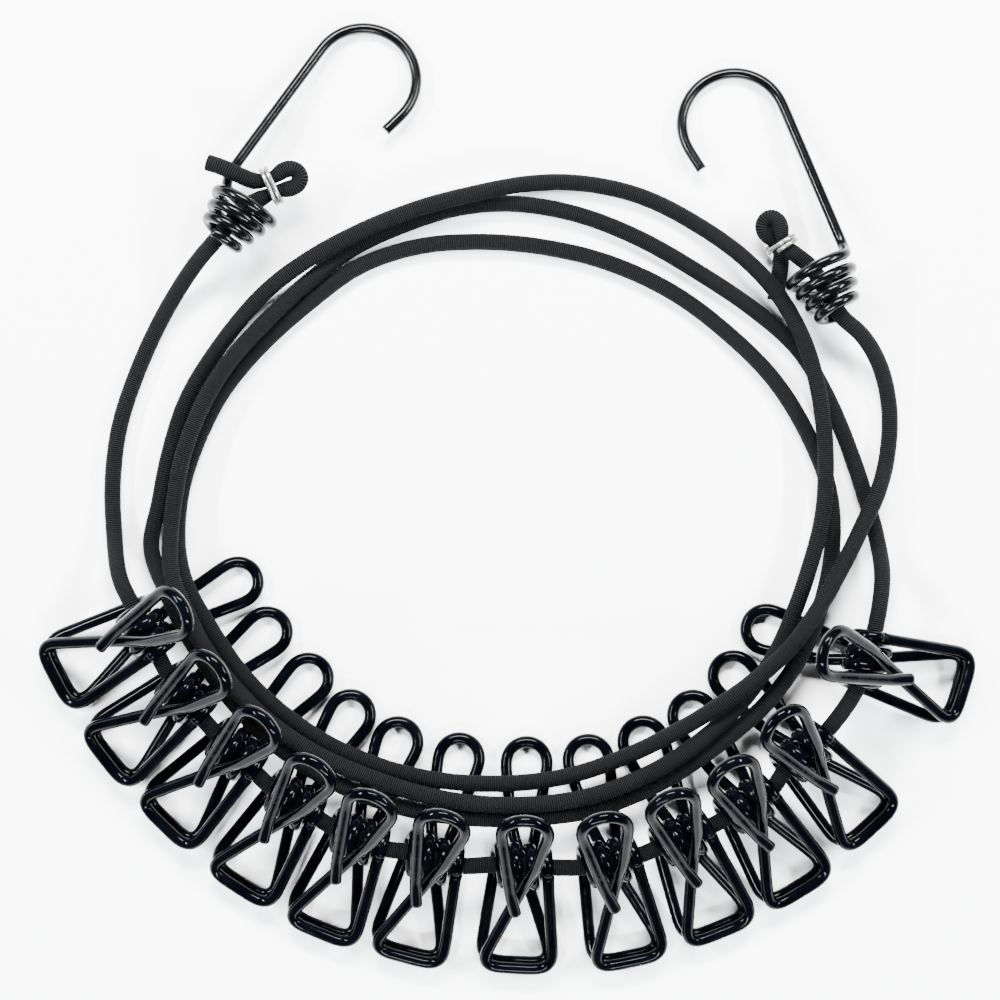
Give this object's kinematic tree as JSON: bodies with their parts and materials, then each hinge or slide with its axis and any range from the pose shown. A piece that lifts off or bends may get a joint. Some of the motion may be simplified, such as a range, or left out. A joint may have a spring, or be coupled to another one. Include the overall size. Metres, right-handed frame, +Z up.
{
  "type": "retractable clothesline",
  "caption": "Elastic travel clothesline coiled flat: ribbed black bungee cord with sprung wire clips threaded on it and a wire hook gripping a ringed loop at each end.",
  "frame": {"origin": "middle of the outline of the clips and hooks, on the surface that the line lies on", "axes": "+Z up, away from the surface; +Y towards the side where both hooks lie; +X to the right seen from above with the hooks at the top"},
  "size_m": [0.226, 0.23, 0.0414],
  "materials": {
    "coated_wire": "glossy black coat over steel wire",
    "painted_steel": "glossy black paint",
    "bright_steel": "bright, satin",
    "textile_cord": "fine cross-ribbed woven cover, soft sheen"
  },
  "bodies": {
    "cord": {"elastic_cord": "textile_cord", "hog_ring_a": "bright_steel", "hog_ring_b": "bright_steel"},
    "clip_01_lower": {"clip_01_lower_lever": "coated_wire", "clip_01_coil": "coated_wire"},
    "clip_01_upper": {"clip_01_upper_lever": "coated_wire"},
    "clip_02_lower": {"clip_02_lower_lever": "coated_wire", "clip_02_coil": "coated_wire"},
    "clip_02_upper": {"clip_02_upper_lever": "coated_wire"},
    "clip_03_lower": {"clip_03_lower_lever": "coated_wire", "clip_03_coil": "coated_wire"},
    "clip_03_upper": {"clip_03_upper_lever": "coated_wire"},
    "clip_04_lower": {"clip_04_lower_lever": "coated_wire", "clip_04_coil": "coated_wire"},
    "clip_04_upper": {"clip_04_upper_lever": "coated_wire"},
    "clip_05_lower": {"clip_05_lower_lever": "coated_wire", "clip_05_coil": "coated_wire"},
    "clip_05_upper": {"clip_05_upper_lever": "coated_wire"},
    "clip_06_lower": {"clip_06_lower_lever": "coated_wire", "clip_06_coil": "coated_wire"},
    "clip_06_upper": {"clip_06_upper_lever": "coated_wire"},
    "clip_07_lower": {"clip_07_lower_lever": "coated_wire", "clip_07_coil": "coated_wire"},
    "clip_07_upper": {"clip_07_upper_lever": "coated_wire"},
    "clip_08_lower": {"clip_08_lower_lever": "coated_wire", "clip_08_coil": "coated_wire"},
    "clip_08_upper": {"clip_08_upper_lever": "coated_wire"},
    "clip_09_lower": {"clip_09_lower_lever": "coated_wire", "clip_09_coil": "coated_wire"},
    "clip_09_upper": {"clip_09_upper_lever": "coated_wire"},
    "clip_10_lower": {"clip_10_lower_lever": "coated_wire", "clip_10_coil": "coated_wire"},
    "clip_10_upper": {"clip_10_upper_lever": "coated_wire"},
    "clip_11_lower": {"clip_11_lower_lever": "coated_wire", "clip_11_coil": "coated_wire"},
    "clip_11_upper": {"clip_11_upper_lever": "coated_wire"},
    "clip_12_lower": {"clip_12_lower_lever": "coated_wire", "clip_12_coil": "coated_wire"},
    "clip_12_upper": {"clip_12_upper_lever": "coated_wire"},
    "hook_a": {"hook_a": "painted_steel"},
    "hook_b": {"hook_b": "painted_steel"}
  },
  "joints": [
    {"name": "clip_01_slide", "type": "slide", "parent": "cord", "child": "clip_01_lower", "axis": [0.4617, -0.887, 0], "range_m": [-0.002, 0.0008]},
    {"name": "clip_01_squeeze", "type": "hinge", "parent": "clip_01_lower", "child": "clip_01_upper", "pos_m": [-0.08596, -0.03118, 0.01251], "axis": [-0.4617, 0.887, 0], "range_deg": [0, 35], "stiffness_Nm_per_rad": 0.05, "springref_deg": -20.05, "deforming": ["clip_01_coil"]},
    {"name": "clip_02_slide", "type": "slide", "parent": "cord", "child": "clip_02_lower", "axis": [0.6157, -0.788, 0], "range_m": [-0.0008, 0.0008]},
    {"name": "clip_02_squeeze", "type": "hinge", "parent": "clip_02_lower", "child": "clip_02_upper", "pos_m": [-0.07656, -0.04688, 0.01251], "axis": [-0.6157, 0.788, 0], "range_deg": [0, 35], "stiffness_Nm_per_rad": 0.05, "springref_deg": -20.05, "deforming": ["clip_02_coil"]},
    {"name": "clip_03_slide", "type": "slide", "parent": "cord", "child": "clip_03_lower", "axis": [0.7133, -0.7009, 0], "range_m": [-0.0008, 0.0001]},
    {"name": "clip_03_squeeze", "type": "hinge", "parent": "clip_03_lower", "child": "clip_03_upper", "pos_m": [-0.06456, -0.06038, 0.01251], "axis": [-0.7133, 0.7009, 0], "range_deg": [0, 35], "stiffness_Nm_per_rad": 0.05, "springref_deg": -20.05, "deforming": ["clip_03_coil"]},
    {"name": "clip_04_slide", "type": "slide", "parent": "cord", "child": "clip_04_lower", "axis": [0.8387, -0.5446, 0], "range_m": [-0.0003, 0.0002]},
    {"name": "clip_04_squeeze", "type": "hinge", "parent": "clip_04_lower", "child": "clip_04_upper", "pos_m": [-0.05066, -0.07218, 0.01251], "axis": [-0.8387, 0.5446, 0], "range_deg": [0, 35], "stiffness_Nm_per_rad": 0.05, "springref_deg": -20.05, "deforming": ["clip_04_coil"]},
    {"name": "clip_05_slide", "type": "slide", "parent": "cord", "child": "clip_05_lower", "axis": [0.9239, -0.3827, 0], "range_m": [-0.0002, 0.0008]},
    {"name": "clip_05_squeeze", "type": "hinge", "parent": "clip_05_lower", "child": "clip_05_upper", "pos_m": [-0.03536, -0.08078, 0.01251], "axis": [-0.9239, 0.3827, 0], "range_deg": [0, 35], "stiffness_Nm_per_rad": 0.05, "springref_deg": -20.05, "deforming": ["clip_05_coil"]},
    {"name": "clip_06_slide", "type": "slide", "parent": "cord", "child": "clip_06_lower", "axis": [0.9659, -0.2588, 0], "range_m": [-0.0008, 0.0008]},
    {"name": "clip_06_squeeze", "type": "hinge", "parent": "clip_06_lower", "child": "clip_06_upper", "pos_m": [-0.01756, -0.08568, 0.01251], "axis": [-0.9659, 0.2588, 0], "range_deg": [0, 35], "stiffness_Nm_per_rad": 0.05, "springref_deg": -20.05, "deforming": ["clip_06_coil"]},
    {"name": "clip_07_slide", "type": "slide", "parent": "cord", "child": "clip_07_lower", "axis": [0.9986, -0.0523, 0], "range_m": [-0.0008, 0.0008]},
    {"name": "clip_07_squeeze", "type": "hinge", "parent": "clip_07_lower", "child": "clip_07_upper", "pos_m": [0.00364, -0.08738, 0.01251], "axis": [-0.9986, 0.0523, 0], "range_deg": [0, 35], "stiffness_Nm_per_rad": 0.05, "springref_deg": -20.05, "deforming": ["clip_07_coil"]},
    {"name": "clip_08_slide", "type": "slide", "parent": "cord", "child": "clip_08_lower", "axis": [0.9799, 0.1994, 0], "range_m": [-0.0008, 0.0008]},
    {"name": "clip_08_squeeze", "type": "hinge", "parent": "clip_08_lower", "child": "clip_08_upper", "pos_m": [0.02454, -0.08638, 0.01251], "axis": [-0.9799, -0.1994, 0], "range_deg": [0, 35], "stiffness_Nm_per_rad": 0.05, "springref_deg": -20.05, "deforming": ["clip_08_coil"]},
    {"name": "clip_09_slide", "type": "slide", "parent": "cord", "child": "clip_09_lower", "axis": [0.9272, 0.3746, 0], "range_m": [-0.0008, 0.0005]},
    {"name": "clip_09_squeeze", "type": "hinge", "parent": "clip_09_lower", "child": "clip_09_upper", "pos_m": [0.04194, -0.08068, 0.01251], "axis": [-0.9272, -0.3746, 0], "range_deg": [0, 35], "stiffness_Nm_per_rad": 0.05, "springref_deg": -20.05, "deforming": ["clip_09_coil"]},
    {"name": "clip_10_slide", "type": "slide", "parent": "cord", "child": "clip_10_lower", "axis": [0.8526, 0.5225, 0], "range_m": [-0.0005, 0.0008]},
    {"name": "clip_10_squeeze", "type": "hinge", "parent": "clip_10_lower", "child": "clip_10_upper", "pos_m": [0.05744, -0.07268, 0.01251], "axis": [-0.8526, -0.5225, 0], "range_deg": [0, 35], "stiffness_Nm_per_rad": 0.05, "springref_deg": -20.05, "deforming": ["clip_10_coil"]},
    {"name": "clip_11_slide", "type": "slide", "parent": "cord", "child": "clip_11_lower", "axis": [0.7373, 0.6756, 0], "range_m": [-0.0008, 0.0003]},
    {"name": "clip_11_squeeze", "type": "hinge", "parent": "clip_11_lower", "child": "clip_11_upper", "pos_m": [0.07084, -0.06038, 0.01251], "axis": [-0.7373, -0.6756, 0], "range_deg": [0, 35], "stiffness_Nm_per_rad": 0.05, "springref_deg": -20.05, "deforming": ["clip_11_coil"]},
    {"name": "clip_12_slide", "type": "slide", "parent": "cord", "child": "clip_12_lower", "axis": [0.2924, 0.9563, 0], "range_m": [-0.0003, 0.002]},
    {"name": "clip_12_squeeze", "type": "hinge", "parent": "clip_12_lower", "child": "clip_12_upper", "pos_m": [0.08544, -0.03858, 0.01251], "axis": [-0.2924, -0.9563, 0], "range_deg": [0, 35], "stiffness_Nm_per_rad": 0.05, "springref_deg": -20.05, "deforming": ["clip_12_coil"]},
    {"name": "hook_a_slide", "type": "slide", "parent": "cord", "child": "hook_a", "axis": [-0.5705, -0.8088, 0.1428], "range_m": [0, 0.002]},
    {"name": "hook_b_slide", "type": "slide", "parent": "cord", "child": "hook_b", "axis": [0.3714, -0.9193, 0.1302], "range_m": [0, 0.002]}
  ]
}
